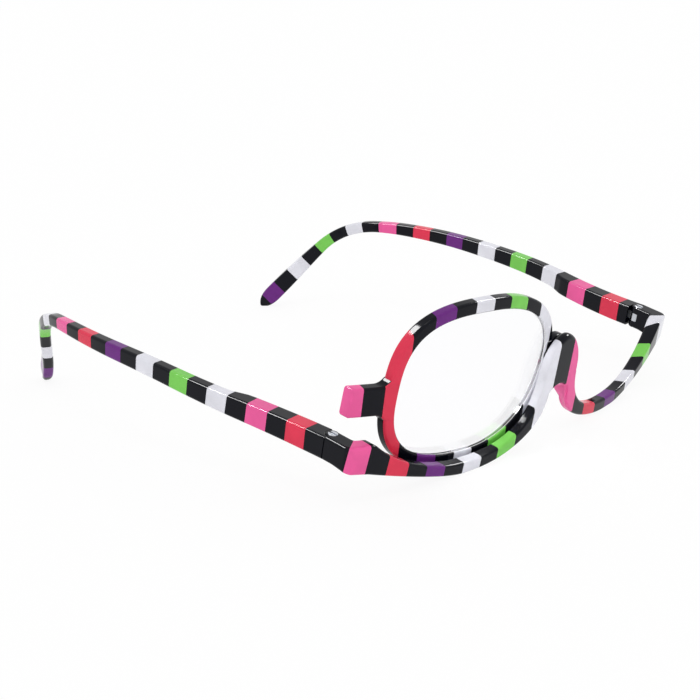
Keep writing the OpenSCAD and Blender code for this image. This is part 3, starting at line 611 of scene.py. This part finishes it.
# Depths in the ring's sheet: the front face's edge, the tongue's two sides and the back face.
FACE, BULGE, TONGUE_FRONT, TONGUE_BACK, BACK = 0.55, 0.5, 1.0, 2.1, 2.5
rim = inwards(angle, (inner_edge + 0.05)[..., None])[:, 0]
tongue = inwards(angle, (inner_edge - 0.8)[..., None])[:, 0]
share = np.concatenate([[0.02], np.linspace(0.05, 0.95, 19), [0.985, 1]])[:, None, None]
front_side = ring_sheet(share * rim, FACE - BULGE * (1 - share[..., 0] ** 2))
snap = np.stack([ring_sheet(rim, TONGUE_FRONT), ring_sheet(tongue, TONGUE_FRONT),
    ring_sheet(tongue, TONGUE_BACK), ring_sheet(rim, TONGUE_BACK)])
back_side = ring_sheet(share * rim, BACK)
lens_loops = np.concatenate([front_side, snap, back_side[::-1]])
clear_lens = piece("clear_lens", [skin(leaning(lens_loops))], clear, "lens")
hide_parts("lens")


# Screws, inserts and washers.
# Slotted steel screws of the hinges and of the hub, the latter with a low domed head. Nuts, hinge
# leaves, bush, insert and washers are turned or stamped, and keep their solids' shapes.

def metal(name, code, rough):
    """Metal with fine turning marks, which spread its mirror images along the cut: noise 2.5 mm round
    and 0.17 mm along the axis, in roughness, colour and bump."""
    made = blank(name)
    tree = made.node_tree
    place = add(tree, "TexCoord")
    stretch = add(tree, "Mapping", {"Vector": place.outputs["Object"], "Scale": (400, 400, 6000)})
    marks = add(tree, "TexNoise", {"Vector": stretch.outputs[0], "Scale": 1.0, "Detail": 3})
    gloss = add(tree, "MapRange", {"Value": marks.outputs["Fac"], "To Min": rough - 0.08,
        "To Max": rough + 0.1})
    worn = add(tree, "MapRange", {"Value": marks.outputs["Fac"], "To Min": 0.9, "To Max": 1.05})
    tint = add(tree, "HueSaturation", {"Color": linear(code), "Value": worn.outputs[0]})
    bump = add(tree, "Bump", {"Height": marks.outputs["Fac"], "Strength": 0.1, "Distance": 0.00005})
    surface = add(tree, "BsdfPrincipled", {"Base Color": tint.outputs["Color"], "Metallic": 1.0,
        "Roughness": gloss.outputs[0], "Normal": bump.outputs["Normal"]})
    add(tree, "OutputMaterial", {"Surface": surface.outputs["BSDF"]})
    return made


steel = metal("steel", "#c4c7cd", 0.22)
brass = metal("brass", "#b8944c", 0.25)

# Black nylon, stamped: matt, with a grain of 0.4 mm.
nylon = blank("nylon")
tree = nylon.node_tree
place = add(tree, "TexCoord")
grain = add(tree, "TexNoise", {"Vector": place.outputs["Object"], "Scale": 2500, "Detail": 2})
gloss = add(tree, "MapRange", {"Value": grain.outputs["Fac"], "To Min": 0.45, "To Max": 0.65})
bump = add(tree, "Bump", {"Height": grain.outputs["Fac"], "Strength": 0.2, "Distance": 0.00005})
surface = add(tree, "BsdfPrincipled", {"Base Color": linear("#26262a"), "Roughness": gloss.outputs[0],
    "Normal": bump.outputs["Normal"], "IOR": 1.53})
add(tree, "OutputMaterial", {"Surface": surface.outputs["BSDF"]})
for node, finish in (("hinge_nuts", steel), ("hinge_tongue_left", steel), ("hinge_tongue_right", steel),
        ("spring_washer", steel), ("pivot_insert", brass), ("pivot_bush", brass),
        ("friction_washer", nylon)):
    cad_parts[node].data.materials.clear()
    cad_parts[node].data.materials.append(finish)


SHANK, THREAD_DEPTH, SLOT_HALF = 0.7, 0.12, 0.25


def thread(start, half_pitch, count):
    """Profile of a thread: crests of radius 0.7 and roots of 0.58 by turns, half a pitch apart."""
    return [(SHANK - THREAD_DEPTH * (k % 2), start + half_pitch * k) for k in range(count)]


# (radius, height) up the hinge screw: thread, plain shank, the head's cone and its rounded rim. The head
# of each screw is slotted across.
cone = [(0.72 + 0.53 * c, 13.17 + 0.42 * c) for c in (0, 0.5, 1)]
head = cone + [(1.25, 13.68), (1.2, 13.74), (1.1, 13.77)]
profile = [(0.5, 7.75)] + thread(7.8, 0.15, 9) + [(SHANK, 9.3), (SHANK, 13.17)] + head
shells = [lathe(profile, (side * HINGE_X, HINGE_W, 0), "v") for side in (-1, 1)]
slotted_screws = piece("slotted_screws", shells, steel, "front", sharp=30)
carve(slotted_screws, [box((side * HINGE_X - SLOT_HALF, 16, 13.35), (side * HINGE_X + SLOT_HALF, 20, 15))
    for side in (-1, 1)], sharp=30)
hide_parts("hinge_screws")

# The pivot screw: thread, neck, shoulder that the bush turns on, and a head with a domed face.
SHOULDER, HEAD, DOME_FOOT = 1.3, 2.5, 6.5
turned = [(0.5, 1.1)] + thread(1.15, 0.13, 12) + [(SHANK, 2.75), (SHOULDER, 2.76), (SHOULDER, 5.84),
    (HEAD - 0.1, 5.84), (HEAD, 5.94), (HEAD, DOME_FOOT)]
dome = [(HEAD - 0.3 * (1 - np.cos(a)), DOME_FOOT + 0.43 * np.sin(a))
    for a in np.linspace(0, np.pi / 2, 8)[1:]]
pivot = piece("slotted_pivot", [lathe(turned + dome, (0, 0, PIVOT_V), "w")], steel, "front",
    sharp=30)
carve(pivot, [box((-SLOT_HALF, 6.48, 20), (SLOT_HALF, 9, 27.5))], sharp=30)
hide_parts("pivot_screw")


# Table and light.
# A white table with no edge in view, under an even white sky and a few small bright lamps that
# draw the lines of light along the polished edges.

def seen(tree):
    """1 for the rays of the camera and of mirror images and clear pieces, 0 for those of plain light."""
    rays = add(tree, "LightPath")
    both = add(tree, "Math", {0: rays.outputs["Is Camera Ray"], 1: rays.outputs["Is Glossy Ray"]},
        operation="MAXIMUM")
    return add(tree, "Math", {0: both.outputs[0], 1: rays.outputs["Is Transmission Ray"]},
        operation="MAXIMUM").outputs[0]


table = bpy.data.meshes.new("table")
table.from_pydata([(-6, -6, 0), (6, -6, 0), (6, 6, 0), (-6, 6, 0)], [], [(0, 1, 2, 3)])
table_top = bpy.data.objects.new("table", table)
bpy.context.scene.collection.objects.link(table_top)

# Matt white paper: nine tenths of what is seen of it is plain white, and the rest takes the shadow.
paper = blank("white_paper")
tree = paper.node_tree
surface = add(tree, "BsdfDiffuse", {"Color": linear("#fdfdfd")})
glow = add(tree, "Emission", {"Color": (1, 1, 1, 1), "Strength": 1.0})
share = add(tree, "Math", {0: seen(tree), 1: 0.9}, operation="MULTIPLY")
mixed = add(tree, "MixShader", {0: share.outputs[0], 1: surface.outputs[0], 2: glow.outputs[0]})
add(tree, "OutputMaterial", {"Surface": mixed.outputs[0]})
table.materials.append(paper)

world = bpy.data.worlds.new("studio")
world.use_nodes = True
bpy.context.scene.world = world
tree = world.node_tree
tree.nodes.clear()
level = add(tree, "MapRange", {"Value": seen(tree), "To Min": 0.92, "To Max": 1.0})
sky = add(tree, "Background", {"Color": (1, 1, 1, 1), "Strength": level.outputs[0]})
add(tree, "OutputWorld", {"Surface": sky.outputs[0]})


def lamp(name, towards, spread, strength, plain=True):
    """Distant lamp: it shines from the direction towards, over a disc spread degrees wide. One that
    isn't plain is a card that is only seen mirrored."""
    light = bpy.data.lights.new(name, "SUN")
    light.angle = math.radians(spread)
    light.energy = strength
    body = bpy.data.objects.new(name, light)
    body.matrix_world = Vector(towards).to_track_quat("Z", "Y").to_matrix().to_4x4()
    body.visible_diffuse = plain
    bpy.context.scene.collection.objects.link(body)


lamp("key", (-0.35, -0.3, 1.0), spread=14, strength=0.2)
lamp("near_edges", (-0.42, 0.35, 0.84), spread=18, strength=5.0, plain=False)
lamp("far_edges", (0.72, -0.29, 0.63), spread=15, strength=3.0, plain=False)
